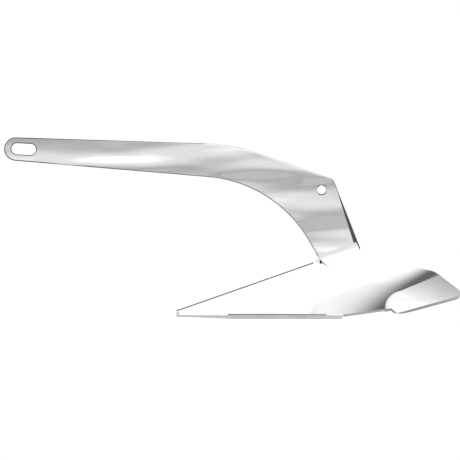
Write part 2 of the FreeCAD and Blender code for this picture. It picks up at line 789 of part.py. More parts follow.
def root_weld_front():
    """Weld between the ridge and the throat edge of the shank."""
    half = SHANK_THICKNESS / 2
    block = Part.Face(Part.Wire(root_front_profile())).extrude(vec(0, SHANK_THICKNESS, 0))
    block.translate(vec(0, -half, 0))
    return solid_of(block.cut(ridge_wedge()))


def root_weld():
    """Starboard fillet between the side of the shank and the blade, hollow-faced and run out at its front."""
    half = SHANK_THICKNESS / 2
    corner = root_front()
    x0 = corner[0] - ROOT_WELD_LEAD
    x1 = RIDGE_END_X
    outer_y = half + ROOT_WELD_WIDTH
    top = vec(x0, half, ridge_z(x0) + ROOT_WELD_RISE)
    foot = vec(x0, outer_y, ridge_z(x0) - outer_y * TAN_PANEL)
    inner = vec(x0, half, ridge_z(x0) - half * TAN_PANEL)
    across = (foot - top).normalize()
    inward = vec(0, across.z, -across.y)
    middle = (top + foot) * 0.5 + inward * ROOT_WELD_HOLLOW
    edges = [Part.Arc(top, middle, foot).toShape()] + polyline([foot, inner, top])
    face = Part.Face(Part.Wire(edges))
    bead = face.extrude(vec(x1 - x0, 0, (x1 - x0) * RIDGE_SLOPE))
    throat = falling(SHANK_THROAT_FALL)
    front_mitre = vec(throat[1], ROOT_WELD_MITRE, -throat[0]).normalize()
    rear = falling(90.0 - SHANK_REAR_LEAN - SHANK_HEEL_TURN)
    rear_mitre = vec(-rear[1], ROOT_WELD_MITRE, rear[0]).normalize()
    heel = (TRAILING_EDGE[0][0] - ROOT_WELD_STOP, TRAILING_EDGE[0][1])
    bead = bead.cut(half_space(side(corner, half), front_mitre))
    bead = bead.cut(half_space(side(heel, half), rear_mitre))
    return solid_of(bead)


def sole_weld():
    """Starboard fillet between the blade's lower edge and the top of the sole plate."""
    sections = []
    for x in evenly(NOSE_JOINT_X, SOLE_REAR_X - SOLE_WELD_STOP, 2 * GRID_STEP_X):
        low = blade_y(x, SOLE_THICKNESS)
        high = blade_y(x, SOLE_THICKNESS + SOLE_WELD_RISE)
        corner = vec(x, low, SOLE_THICKNESS)
        toe = vec(x, low + SOLE_WELD_WIDTH, SOLE_THICKNESS)
        crest = vec(x, high, SOLE_THICKNESS + SOLE_WELD_RISE)
        sections.append(Part.makePolygon([corner, toe, crest, corner]))
    return outward(Part.makeLoft(sections, True, True))


def bulkhead_weld():
    """Starboard fillet between the rear of the bulkhead and the inside of the blade."""
    rear = BULKHEAD_X + BULKHEAD_THICKNESS
    inside = inner_wedge().common(slab(rear, rear + BULKHEAD_WELD_LEG, 0.0, REACH, SOLE_THICKNESS, REACH))
    core = inner_wedge()
    core.translate(vec(0, 0, -BULKHEAD_WELD_LEG * UP_OUTSIDE))
    bead = inside.cut(core)
    low = vec(rear, 0.0, ridge_z(rear) - PANEL_DEPTH)
    bevel = vec(1.0, -math.sin(math.radians(PANEL_ANGLE)), -math.cos(math.radians(PANEL_ANGLE))).normalize()
    reach = vec(BULKHEAD_WELD_LEG, 0.0, BULKHEAD_WELD_LEG * RIDGE_SLOPE)
    return solid_of(bead.cut(half_space(low + reach, bevel)))


def parts():
    """Every piece of the anchor by name, with the port pieces made from the starboard ones."""
    pieces = {
        "shank": shank(),
        "nose_point": nose_point(),
        "nose_seam": nose_seam(),
        "ridge_seam": ridge_seam(),
        "sole_plate": sole_plate(),
        "ballast": ballast(),
        "bulkhead": bulkhead(),
        "root_weld_front": root_weld_front(),
    }
    paired = {
        "blade": blade(),
        "wing": wing(),
        "wing_weld": wing_weld(),
        "root_weld": root_weld(),
        "sole_weld": sole_weld(),
        "bulkhead_weld": bulkhead_weld(),
    }
    for name, shape in paired.items():
        pieces[name + "_starboard"] = shape
        pieces[name + "_port"] = mirrored(shape)
    return pieces


def main():
    os.makedirs("parts", exist_ok=True)
    for name, shape in parts().items():
        shape.translate(vec(MID_LENGTH_SHIFT, 0, 0))
        shape.exportStep(os.path.join("parts", name + ".step"))
        print(name, shape.ShapeType, shape.isValid(), round(shape.Volume / 1000, 2))


main()
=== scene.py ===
import logging
import math
from dataclasses import dataclass
from enum import Enum
from typing import Dict, List, Mapping, Optional, Sequence, Tuple, Union

import bmesh
import bpy
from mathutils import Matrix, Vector


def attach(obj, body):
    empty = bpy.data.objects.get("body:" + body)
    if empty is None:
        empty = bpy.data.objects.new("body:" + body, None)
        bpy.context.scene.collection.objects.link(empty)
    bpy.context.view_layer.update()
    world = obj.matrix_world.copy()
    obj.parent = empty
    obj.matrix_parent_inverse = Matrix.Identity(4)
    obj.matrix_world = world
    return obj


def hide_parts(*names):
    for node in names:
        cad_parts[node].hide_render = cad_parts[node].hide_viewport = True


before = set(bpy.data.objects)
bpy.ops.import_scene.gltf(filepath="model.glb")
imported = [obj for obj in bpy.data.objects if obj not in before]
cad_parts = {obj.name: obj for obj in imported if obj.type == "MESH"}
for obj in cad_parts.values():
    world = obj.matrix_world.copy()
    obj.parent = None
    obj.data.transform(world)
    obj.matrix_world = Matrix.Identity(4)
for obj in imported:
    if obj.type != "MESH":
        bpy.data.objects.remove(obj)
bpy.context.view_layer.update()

LOG = logging.getLogger("plough_anchor")
MM = 0.001
ROOT = "root"
EYE_X = 138.85 * MM
EYE_Z = 198.9 * MM
EYE_MARGIN = 10.0 * MM
# Where the bar's top is left out of the painted dark edge reflection.
BRIGHT_TOP_FROM = -60.0 * MM
BRIGHT_TOP_RISE = 0.2
FLAT_LIMIT = 0.955

Point = Tuple[float, float]


class Side(Enum):
    """Which side of the anchor a piece is on, with the sign of its Y."""

    PORT = -1
    STARBOARD = 1

    @property
    def label(self) -> str:
        """The ending of the side's piece names."""
        return self.name.lower()


class Run(Enum):
    """Direction, seen from the side, along which the points of a weld are put in order."""

    RISING_AFT = (0.6, 0.0, 0.8)
    UP = (0.0, 0.0, 1.0)


# ---------------------------------------------------------------------------------------- shader maths


class Wire:
    """One value inside a node tree. Arithmetic on it adds Math nodes to the tree."""

    def __init__(self, graph: "Graph", socket: bpy.types.NodeSocket) -> None:
        """Wraps a socket.

        Args:
            graph: the graph that the socket belongs to.
            socket: the output socket that holds the value.
        """
        self.graph = graph
        self.socket = socket

    def _math(self, operation: str, first: "Value", second: "Value") -> "Wire":
        """Adds one Math node.

        Args:
            operation: the node's operation.
            first: its first input.
            second: its second input.

        Returns:
            The node's result.
        """
        return self.graph.wire("ShaderNodeMath", {"operation": operation}, {0: first, 1: second})

    def __add__(self, other: "Value") -> "Wire":
        """Sum of two values."""
        return self._math("ADD", self, other)

    def __radd__(self, other: "Value") -> "Wire":
        """Sum with a number on the left."""
        return self._math("ADD", other, self)

    def __sub__(self, other: "Value") -> "Wire":
        """Difference of two values."""
        return self._math("SUBTRACT", self, other)

    def __rsub__(self, other: "Value") -> "Wire":
        """Difference with a number on the left."""
        return self._math("SUBTRACT", other, self)

    def __mul__(self, other: "Value") -> "Wire":
        """Product of two values."""
        return self._math("MULTIPLY", self, other)

    def __rmul__(self, other: "Value") -> "Wire":
        """Product with a number on the left."""
        return self._math("MULTIPLY", other, self)

    def atan2(self, other: "Value") -> "Wire":
        """Angle of the vector whose sine side is this value and whose cosine side is the other."""
        return self._math("ARCTAN2", self, other)

    def rise(self, start: float, end: float) -> "Wire":
        """Smooth step of this value.

        Args:
            start: where the step begins, at 0.
            end: where the step ends, at 1.

        Returns:
            A value from 0 to 1.
        """
        settings = {"interpolation_type": "SMOOTHSTEP"}
        inputs = {"Value": self, "From Min": start, "From Max": end, "To Min": 0.0, "To Max": 1.0}
        return self.graph.wire("ShaderNodeMapRange", settings, inputs)


Value = Union[Wire, float, Sequence[float], bpy.types.NodeSocket]


class Graph:
    """Adds nodes to one node tree and links them."""

    def __init__(self, tree: bpy.types.NodeTree) -> None:
        """Starts with an empty tree.

        Args:
            tree: the tree to fill.
        """
        self.tree = tree
        tree.nodes.clear()

    def node(
        self, kind: str, settings: Optional[Mapping[str, object]] = None,
        inputs: Optional[Mapping[Union[str, int], Value]] = None,
    ) -> bpy.types.Node:
        """Adds one node.

        Args:
            kind: the node's type.
            settings: attributes to set first; "stops" holds a colour ramp's stops.
            inputs: values or links, by socket name or number.

        Returns:
            The node.
        """
        node = self.tree.nodes.new(kind)
        for key, setting in (settings or {}).items():
            if key == "stops":
                self._set_stops(node.color_ramp, setting)
            else:
                setattr(node, key, setting)
        for key, value in (inputs or {}).items():
            socket = node.inputs[key]
            if isinstance(value, Wire):
                self.tree.links.new(value.socket, socket)
            elif isinstance(value, bpy.types.NodeSocket):
                self.tree.links.new(value, socket)
            else:
                socket.default_value = value
        return node

    @staticmethod
    def _set_stops(ramp: bpy.types.ColorRamp, stops: Sequence[Tuple[float, float]]) -> None:
        """Sets a ramp's stops.

        Args:
            ramp: the ramp.
            stops: position and grey level of each stop, in rising order.
        """
        while len(ramp.elements) < len(stops):
            ramp.elements.new(1.0)
        for element, (position, level) in zip(ramp.elements, stops):
            element.position = position
            element.color = (level, level, level, 1.0)

    def wire(
        self, kind: str, settings: Optional[Mapping[str, object]] = None,
        inputs: Optional[Mapping[Union[str, int], Value]] = None, output: Union[str, int] = 0,
    ) -> Wire:
        """Adds one node and wraps one of its outputs.

        Args:
            kind: the node's type.
            settings: attributes to set first.
            inputs: values or links, by socket name or number.
            output: the name or number of the output.

        Returns:
            The output as a value.
        """
        return Wire(self, self.node(kind, settings, inputs).outputs[output])

    def noise(self, place: Value, scale: float, detail: float = 2.0, roughness: float = 0.5) -> Wire:
        """Smooth noise from 0 to 1.

        Args:
            place: the coordinates.
            scale: how many features there are in a metre.
            detail: how many finer layers it has.
            roughness: how strong the finer layers are.

        Returns:
            The noise's value.
        """
        inputs = {"Vector": place, "Scale": scale, "Detail": detail, "Roughness": roughness}
        return self.wire("ShaderNodeTexNoise", {"noise_dimensions": "3D"}, inputs)

    def stretched(
        self, place: Value, scale: Sequence[float], turn: float = 0.0, shift: Sequence[float] = (0, 0, 0)
    ) -> Wire:
        """Coordinates turned about Y, moved and scaled by axis.

        Args:
            place: the coordinates.
            scale: factor on each axis.
            turn: angle about Y, in degrees.
            shift: what is added on each axis after the turn.

        Returns:
            The new coordinates.
        """
        rotation = (0.0, math.radians(turn), 0.0)
        inputs = {"Vector": place, "Location": shift, "Rotation": rotation, "Scale": scale}
        return self.wire("ShaderNodeMapping", {"vector_type": "POINT"}, inputs)

    def bump(self, height: Value, distance: float, under: Optional[Wire] = None) -> Wire:
        """Normal that a height gives.

        Args:
            height: the height, from 0 to 1.
            distance: what a height of 1 stands for, in metres.
            under: the normal below it.

        Returns:
            The normal.
        """
        inputs: Dict[Union[str, int], Value] = {"Strength": 1.0, "Distance": distance, "Height": height}
        if under is not None:
            inputs["Normal"] = under
        return self.wire("ShaderNodeBump", None, inputs)

    def tint(self, factor: Value, first: Value, second: Value) -> Wire:
        """Blend of two colours.

        Args:
            factor: 0 for the first, 1 for the second.
            first: a colour.
            second: a colour.

        Returns:
            The blended colour.
        """
        settings = {"data_type": "RGBA", "clamp_factor": True}
        node = self.node("ShaderNodeMix", settings, {0: factor, 6: first, 7: second})
        return Wire(self, node.outputs[2])


# ------------------------------------------------------------------------------------------- finishes


Colour = Tuple[float, float, float]


def opaque(colour: Colour) -> Tuple[float, float, float, float]:
    """The colour with full alpha."""
    return (colour[0], colour[1], colour[2], 1.0)


class Finish:
    """A surface finish, which makes its material once."""

    name: str

    def material(self) -> bpy.types.Material:
        """The finish's material.

        Returns:
            The material, made at the first call.
        """
        made = bpy.data.materials.get(self.name)
        if made is not None:
            return made
        made = bpy.data.materials.new(self.name)
        made.use_nodes = True
        graph = Graph(made.node_tree)
        output = graph.node("ShaderNodeOutputMaterial")
        made.node_tree.links.new(self.shader(graph).outputs[0], output.inputs["Surface"])
        return made

    def shader(self, graph: Graph) -> bpy.types.Node:
        """The finish's shader node.

        Args:
            graph: the graph to add it to.

        Returns:
            The node.
        """
        raise NotImplementedError


@dataclass(frozen=True)
class MirrorSteel(Finish):
    """Mirror-polished stainless plate, with the long soft waves and fine lines that polishing leaves."""

    name: str = "mirror_steel"
    bright: Colour = (0.86, 0.865, 0.87)
    dull: Colour = (0.79, 0.795, 0.80)
    roughness: float = 0.07
    roughness_spread: float = 0.07
    wave_turn: float = 0.0
    wave_scale: Tuple[float, float, float] = (9.0, 9.0, 9.0)
    wave_shift: Tuple[float, float, float] = (0.0, 0.0, 0.0)
    wave_depth: float = 0.0
    line_turn: float = 0.0
    line_depth: float = 0.0000002

    def shader(self, graph: Graph) -> bpy.types.Node:
        """Metal with waves, polishing lines and faint smears.

        Args:
            graph: the graph to add it to.

        Returns:
            The node.
        """
        place = graph.wire("ShaderNodeTexCoord", None, None, "Object")
        stretched = graph.stretched(place, self.wave_scale, self.wave_turn, self.wave_shift)
        waves = graph.noise(stretched, 1.0, 1.0)
        lines = graph.noise(graph.stretched(place, (60.0, 900.0, 2600.0), self.line_turn), 1.0, 2.0)
        smears = graph.noise(graph.stretched(place, (22.0, 30.0, 60.0), self.line_turn), 1.0, 4.0, 0.6)
        mask = smears.rise(0.42, 0.68)
        roughness = self.roughness + mask * self.roughness_spread + lines * 0.002
        normal = graph.bump(lines, self.line_depth, graph.bump(waves, self.wave_depth))
        colour = graph.tint(mask * 0.6 + lines * 0.15, opaque(self.bright), opaque(self.dull))
        inputs = {"Base Color": colour, "Metallic": 1.0, "Roughness": roughness, "Normal": normal}
        return graph.node("ShaderNodeBsdfPrincipled", None, inputs)


@dataclass(frozen=True)
class DarkReflectionEdge(Finish):
    """Painted dark reflection on the bar's rounded edges: near-black colour near the shackle end that
    lightens towards the foot.
    """

    name: str = "edge_painted_dark_reflection"
    # Near-black and mid-grey colours that paint the dark reflection of the surroundings.
    dull: Colour = (0.02, 0.02, 0.0205)
    bright: Colour = (0.42, 0.42, 0.425)
    start: float = -0.33
    end: float = -0.02
    roughness: float = 0.16

    def shader(self, graph: Graph) -> bpy.types.Node:
        """Metal with a painted dark reflection that lightens along the bar, with faint smears.

        Args:
            graph: the graph to add it to.

        Returns:
            The node.
        """
        place = graph.wire("ShaderNodeTexCoord", None, None, "Object")
        x = Wire(graph, graph.node("ShaderNodeSeparateXYZ", None, {0: place}).outputs[0])
        smears = graph.noise(place, 60.0, 3.0)
        # Painted reflection: the colour goes from near-black to mid grey along the bar's X.
        share = x.rise(self.start, self.end) * 0.8 + smears * 0.2
        colour = graph.tint(share, opaque(self.dull), opaque(self.bright))
        inputs = {"Base Color": colour, "Metallic": 1.0, "Roughness": self.roughness + smears * 0.06}
        return graph.node("ShaderNodeBsdfPrincipled", None, inputs)


@dataclass(frozen=True)
class BrushedSteel(Finish):
    """Stainless plate with a brushed or rolled surface."""

    name: str = "brushed_steel"
    bright: Colour = (0.72, 0.725, 0.73)
    dull: Colour = (0.58, 0.58, 0.585)
    roughness: float = 0.28
    grain: Tuple[float, float, float] = (12.0, 1400.0, 1400.0)
    grain_depth: float = 0.000004

    def shader(self, graph: Graph) -> bpy.types.Node:
        """Metal with straight grain and patches.

        Args:
            graph: the graph to add it to.

        Returns:
            The node.
        """
        place = graph.wire("ShaderNodeTexCoord", None, None, "Object")
        grain = graph.noise(graph.stretched(place, self.grain), 1.0, 2.0)
        patches = graph.noise(place, 26.0, 4.0, 0.6)
        colour = graph.tint(patches.rise(0.35, 0.7), opaque(self.bright), opaque(self.dull))
        roughness = self.roughness + grain * 0.12 + patches * 0.12
        normal = graph.bump(grain, self.grain_depth)
        inputs = {"Base Color": colour, "Metallic": 1.0, "Roughness": roughness, "Normal": normal}
        return graph.node("ShaderNodeBsdfPrincipled", None, inputs)


@dataclass(frozen=True)
class WeldMetal(Finish):
    """Weld metal, from ground bright to left as it was laid with a heat tint."""

    name: str = "ground_weld"
    bright: Colour = (0.80, 0.80, 0.80)
    straw: Colour = (0.62, 0.50, 0.33)
    blue: Colour = (0.30, 0.34, 0.46)
    heat: float = 0.0
    roughness: float = 0.16
    pit_depth: float = 0.00002

    def shader(self, graph: Graph) -> bpy.types.Node:
        """Metal with soft pits and a heat tint in bands.

        Args:
            graph: the graph to add it to.

        Returns:
            The node.
        """
        place = graph.wire("ShaderNodeTexCoord", None, None, "Object")
        pits = graph.noise(place, 420.0, 3.0, 0.55)
        bands = graph.noise(place, 90.0, 3.0, 0.6)
        warm = graph.tint(bands.rise(0.36, 0.52) * self.heat, opaque(self.bright), opaque(self.straw))
        colour = graph.tint(bands.rise(0.52, 0.64) * self.heat, warm, opaque(self.blue))
        roughness = self.roughness + pits * 0.12
        normal = graph.bump(pits, self.pit_depth)
        inputs = {"Base Color": colour, "Metallic": 1.0, "Roughness": roughness, "Normal": normal}
        return graph.node("ShaderNodeBsdfPrincipled", None, inputs)


@dataclass(frozen=True)
class CastIron(Finish):
    """Rough grey iron casting."""

    name: str = "ballast_casting"
    light: Colour = (0.16, 0.155, 0.15)
    dark: Colour = (0.07, 0.068, 0.066)

    def shader(self, graph: Graph) -> bpy.types.Node:
        """Rough metal with a sand-cast texture.

        Args:
            graph: the graph to add it to.

        Returns:
            The node.
        """
        place = graph.wire("ShaderNodeTexCoord", None, None, "Object")
        sand = graph.noise(place, 900.0, 4.0, 0.7)
        patches = graph.noise(place, 40.0, 3.0)
        colour = graph.tint(patches * 0.5 + sand * 0.5, opaque(self.dark), opaque(self.light))
        normal = graph.bump(sand, 0.0002)
        inputs = {"Base Color": colour, "Metallic": 0.6, "Roughness": 0.6 + patches * 0.2, "Normal": normal}
        return graph.node("ShaderNodeBsdfPrincipled", None, inputs)


SHANK_STEEL = MirrorSteel(
    name="shank_steel", wave_turn=-40.0, wave_scale=(4.0, 3.0, 20.0), wave_depth=0.02, roughness=0.05,
    roughness_spread=0.05,
)
BLADE_STEEL = MirrorSteel(
    name="blade_steel", wave_turn=20.0, wave_scale=(7.0, 7.0, 12.0), wave_depth=0.00003, roughness=0.03,
    roughness_spread=0.03,
)
WING_STEEL = MirrorSteel(
    name="wing_steel", wave_turn=20.0, wave_scale=(9.0, 9.0, 14.0), wave_depth=0.0001, roughness=0.11,
    roughness_spread=0.05,
)
# Painted dark reflection for the bar's edges.
PAINTED_DARK_EDGE = DarkReflectionEdge()
# Painted dark reflection: near-black brushed colours on the crown of the fluke's ridge.
PAINTED_DARK_RIDGE = BrushedSteel(
    name="ridge_painted_dark_reflection", roughness=0.14, bright=(0.15, 0.15, 0.152), dull=(0.07, 0.07, 0.071),
)
SEAM_STEEL = MirrorSteel(
    name="seam_steel", wave_scale=(120.0, 120.0, 120.0), wave_depth=0.000012, roughness=0.05,
    roughness_spread=0.04,
)
INNER_STEEL = BrushedSteel(name="inner_steel", roughness=0.30)
SOLE_STEEL = BrushedSteel(
    name="sole_steel", roughness=0.20, bright=(0.8, 0.8, 0.805), dull=(0.68, 0.68, 0.685),
)
INNER_SCALE = (1.7 * MM, 2.3 * MM, 2.3 * MM)
LAID_WELD = WeldMetal(name="laid_weld", heat=0.75, roughness=0.24, pit_depth=0.00001)


# --------------------------------------------------------------------------------------- mesh helpers


def object_from(mesh: bpy.types.Mesh, name: str) -> bpy.types.Object:
    """Puts a mesh in the scene at the origin.

    Args:
        mesh: the mesh.
        name: the new object's name.

    Returns:
        The object.
    """
    piece = bpy.data.objects.new(name, mesh)
    bpy.context.scene.collection.objects.link(piece)
    return piece


def mesh_from(work: bmesh.types.BMesh, name: str) -> bpy.types.Mesh:
    """Turns working geometry into a mesh and frees it.

    Args:
        work: the geometry.
        name: the mesh's name.

    Returns:
        The mesh.
    """
    mesh = bpy.data.meshes.new(name)
    work.to_mesh(mesh)
    work.free()
    return mesh


def settle(piece: bpy.types.Object, nodes: Sequence[str]) -> bpy.types.Object:
    """Gives a finished piece its body and the nodes that it stands for.

    Args:
        piece: the piece.
        nodes: the CAD nodes that it replaces.

    Returns:
        The piece.
    """
    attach(piece, ROOT)
    if nodes:
        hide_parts(*nodes)
    LOG.info("%s: %d faces", piece.name, len(piece.data.polygons))
    return piece


@dataclass
class CleanCopy:
    """Copy of a CAD node with its points merged, its flats crisp and its rounds smooth."""

    node: str
    ridge: Optional["RoundedRidge"] = None
    flat_width: float = 1.0 * MM
    coplanar: float = math.radians(0.15)
    crisp: float = math.radians(32.0)

    def build(self) -> bpy.types.Mesh:
        """Makes the copy.

        Returns:
            The mesh, with its sharp edges marked.
        """
        work = bmesh.new()
        work.from_mesh(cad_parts[self.node].data)
        bmesh.ops.remove_doubles(work, verts=work.verts, dist=0.000002)
        if self.ridge is not None:
            self.ridge.apply(work)
        for face in work.faces:
            face.smooth = True
            face.material_index = 0
        regions = self._regions(work)
        for edge in work.edges:
            edge.smooth = not self._is_crisp(edge, regions)
        return mesh_from(work, self.node + "_clean")

    def _regions(self, work: bmesh.types.BMesh) -> List[bool]:
        """Finds which faces lie in a flat that is wide enough to stay flat.

        Args:
            work: the geometry.

        Returns:
            One flag for each face, by index.
        """
        work.faces.ensure_lookup_table()
        work.faces.index_update()
        flags = [False] * len(work.faces)
        seen = [False] * len(work.faces)
        for start in work.faces:
            if seen[start.index]:
                continue
            seen[start.index] = True
            queue = [start]
            members = []
            area = 0.0
            border = 0.0
            while queue:
                face = queue.pop()
                members.append(face.index)
                area += face.calc_area()
                for edge in face.edges:
                    inside = len(edge.link_faces) == 2 and edge.calc_face_angle(math.pi) < self.coplanar
                    if not inside:
                        border += edge.calc_length()
                        continue
                    for other in edge.link_faces:
                        if not seen[other.index]:
                            seen[other.index] = True
                            queue.append(other)
            wide = border > 0.0 and 2.0 * area / border > self.flat_width
            for index in members:
                flags[index] = wide
        return flags

    def _is_crisp(self, edge: bmesh.types.BMEdge, flats: Sequence[bool]) -> bool:
        """Whether an edge is shaded sharp.

        Args:
            edge: the edge.
            flats: the flags of the faces.

        Returns:
            True for a corner, or for the border of a wide flat.
        """
        if len(edge.link_faces) != 2:
            return True
        angle = edge.calc_face_angle(math.pi)
        if angle > self.crisp:
            return True
        return angle > self.coplanar and any(flats[face.index] for face in edge.link_faces)


# --------------------------------------------------------------------------------------------- fluke


@dataclass(frozen=True)
class RoundedRidge:
    """Eases the fluke's ridge to a round that runs smoothly into both panels."""

    form: "FlukeForm"
    radius: float = 2.4
    crown: float = 2.7
    cuts: int = 6

    def apply(self, work: bmesh.types.BMesh) -> None:
        """Cuts the geometry along the ridge and lowers what stands above the round.

        Args:
            work: the geometry, in metres.
        """
        lean = math.radians(self.form.panel_angle)
        half = self.radius * math.sin(lean)
        for y in [-self.crown, self.crown] + [half * i / self.cuts for i in range(-self.cuts, self.cuts + 1)]:
            everything = work.verts[:] + work.edges[:] + work.faces[:]
            place = (0.0, y * MM, 0.0)
            bmesh.ops.bisect_plane(
                work, geom=everything, dist=0.0000005, plane_co=place, plane_no=(0.0, 1.0, 0.0)
            )
        for vertex in work.verts:
            y = vertex.co.y / MM
            if abs(y) > half:
                continue
            drop = self.radius / math.cos(lean) - math.sqrt(self.radius ** 2 - y ** 2)
            top = (self.form.ridge_z(vertex.co.x / MM - self.form.shift) - drop) * MM
            vertex.co.z = min(vertex.co.z, top)


@dataclass(frozen=True)
class FlukeForm:
    """Rule for the fluke's outer surface. Sizes are in drawing millimetres, angles in degrees."""

    shift: float = -1.75
    nose_x: float = -83.0
    nose_z: float = 14.5
    ridge_slope: float = 0.351
    panel_angle: float = 48.6
    knee_x: float = 138.0
    knee_z: float = 35.0
    knee_slope: float = 0.381
    knee_turn: float = 2.6
    knee_length: float = 14.0
    knee_front: float = 118.5
    flare_start: float = 108.0
    flare_gain: float = 0.068
    flare_span: float = 100.0
    knee_long: float = 3.0
    knee_long_from: float = 200.0
    knee_long_span: float = 80.0
    crimps: Tuple[Tuple[float, float, float, float], ...] = (
        (1.6, 5.0, 1.5, 214.0), (1.2, 7.0, 0.6, 122.0), (-6.0, 4.0, 1.0, 116.0), (-12.0, 3.6, 0.8, 110.0),
    )
    crimp_fade: float = 18.0

    def ridge_z(self, x: float) -> float:
        """Height of the ridge line."""
        return self.nose_z + self.ridge_slope * (x - self.nose_x)

    def fall(self, x: float, s: float) -> float:
        """Slope of the cross-section.

        Args:
            x: the station.
            s: the distance down the section from the ridge.

        Returns:
            The slope, in radians.
        """
        knee_z = self.knee_z + self.knee_slope * (x - self.knee_x)
        below = s - (self.ridge_z(x) - knee_z) / math.sin(math.radians(self.panel_angle))
        past = self._past_corner(x - self.knee_front, below)
        lengthened = ease((x - self.knee_long_from) / self.knee_long_span)
        length = self.knee_length * (1.0 + self.knee_long * lengthened)
        turn = self.knee_turn * ease(past / length)
        rate = self.flare_gain * (max(0.0, x - self.flare_start) / self.flare_span) ** 2
        turn += rate * max(0.0, past - self.knee_length / 2)
        for centre, width, most, end in self.crimps:
            fade = 1.0 - ease((x - end) / self.crimp_fade)
            turn -= most * fade * ease(1.0 - abs(2.0 * (past - centre) / width))
        return math.radians(self.panel_angle - turn)

    def _past_corner(self, behind: float, below: float) -> float:
        """Distance past the knee line, which runs along the panel and turns down at its front end.

        Args:
            behind: the distance behind the line's front end.
            below: the distance below the line along the section.

        Returns:
            The distance, with the line's corner rounded; below 0 ahead of the line.
        """
        radius = self.knee_length
        if behind >= radius and below >= radius:
            return min(behind, below)
        return radius - math.hypot(max(0.0, radius - behind), max(0.0, radius - below))

    def place(self, x: float, y: float, z: float) -> Vector:
        """The drawing's point in the frame, in metres."""
        return Vector(((x + self.shift) * MM, y * MM, z * MM))


def ease(t: float) -> float:
    """Cubic ease from 0 to 1."""
    t = max(0.0, min(1.0, t))
    return t * t * (3.0 - 2.0 * t)


class Section:
    """The fluke's outer cross-section at one station, marched down from the ridge."""

    STEP = 0.5
    REACH = 195.0

    def __init__(self, form: FlukeForm, x: float) -> None:
        """Marches the section.

        Args:
            form: the fluke's rule.
            x: the station.
        """
        self.heights = [form.ridge_z(x)]
        self.widths = [0.0]
        for i in range(int(self.REACH / self.STEP)):
            fall = form.fall(x, (i + 0.5) * self.STEP)
            self.heights.append(self.heights[-1] - self.STEP * math.sin(fall))
            self.widths.append(self.widths[-1] + self.STEP * math.cos(fall))

    def half_width(self, z: float) -> float:
        """Half-width of the surface at a height.

        Args:
            z: the height.

        Returns:
            The half-width, carried on in a straight line past either end.
        """
        low = 0
        high = len(self.heights) - 1
        while high - low > 1:
            middle = (low + high) // 2
            if self.heights[middle] > z:
                low = middle
            else:
                high = middle
        share = (self.heights[low] - z) / (self.heights[low] - self.heights[high])
        return self.widths[low] + (self.widths[high] - self.widths[low]) * share


@dataclass(frozen=True)
class SideOutline:
    """Outline of a blade in side view, in drawing millimetres."""

    front: float = 0.0
    seam: float = 3.0
    ridge_end: float = 199.0
    sole_top: float = 6.0
    trailing: Tuple[Point, ...] = (
        (199.0, 111.2), (211.2, 104.4), (252.8, 88.9), (277.4, 82.0), (295.9, 77.4), (314.4, 72.3),
        (320.7, 68.2),
    )
    heel: Point = (174.0, 7.2)
    foot: Point = (236.8, 16.0)
    knee: Point = (243.0, 33.0)
    bend: Point = (260.0, 43.2)

    def trailing_z(self, x: float) -> float:
        """Height of the trailing edge.

        Args:
            x: the station.

        Returns:
            The height, on a smooth curve through the outline's points.
        """
        points = self.trailing
        slopes = [(b[1] - a[1]) / (b[0] - a[0]) for a, b in zip(points, points[1:])]
        i = max(k for k in range(len(slopes)) if k == 0 or points[k][0] <= x)
        start = slopes[0] if i == 0 else 0.5 * (slopes[i - 1] + slopes[i])
        end = slopes[-1] if i == len(slopes) - 1 else 0.5 * (slopes[i] + slopes[i + 1])
        run = points[i + 1][0] - points[i][0]
        t = (x - points[i][0]) / run
        first = (2 * t - 3) * t * t + 1
        last = (3 - 2 * t) * t * t
        middle = run * t * (1 - t) * ((1 - t) * start - t * end)
        return first * points[i][1] + last * points[i + 1][1] + middle

    def crease_z(self, x: float) -> float:
        """Height of the crease.

        Args:
            x: a station from the crease's foot to its head.

        Returns:
            The height, on an arc up to the bend and straight after it.
        """
        if x >= self.bend[0]:
            head = self.trailing[-1]
            slope = (head[1] - self.bend[1]) / (head[0] - self.bend[0])
            return self.bend[1] + slope * (x - self.bend[0])
        centre_x, centre_z, radius = circle_through(self.foot, self.knee, self.bend)
        side = 1 if centre_z < self.foot[1] else -1
        return centre_z + math.sqrt(max(0.0, radius ** 2 - (x - centre_x) ** 2)) * side

    def stations(self, step: float) -> List[float]:
        """Stations for the blade's columns.

        Args:
            step: the usual distance between them.

        Returns:
            Rising stations, close together at the crease's foot and doubled at each step in the outline.
        """
        stops = [self.front, self.heel[0], self.foot[0], self.bend[0], self.trailing[-1][0]]
        found: List[float] = []
        for start, end in zip(stops, stops[1:]):
            count = max(1, round((end - start) / step))
            power = 2.0 if start == self.foot[0] else 1.0
            count = 2 * count if power > 1.0 else count
            found += [start + (end - start) * (i / count) ** power for i in range(count)]
            found.append(end - 0.004)
        found[-1] = stops[-1]
        return found


def circle_through(a: Point, b: Point, c: Point) -> Tuple[float, float, float]:
    """Circle through three points.

    Args:
        a: a point.
        b: a point.
        c: a point.

    Returns:
        The centre's two coordinates and the radius.
    """
    d = 2.0 * (a[0] * (b[1] - c[1]) + b[0] * (c[1] - a[1]) + c[0] * (a[1] - b[1]))
    squares = [p[0] ** 2 + p[1] ** 2 for p in (a, b, c)]
    x = (squares[0] * (b[1] - c[1]) + squares[1] * (c[1] - a[1]) + squares[2] * (a[1] - b[1])) / d
    z = (squares[0] * (c[0] - b[0]) + squares[1] * (a[0] - c[0]) + squares[2] * (b[0] - a[0])) / d
    return x, z, math.hypot(a[0] - x, a[1] - z)


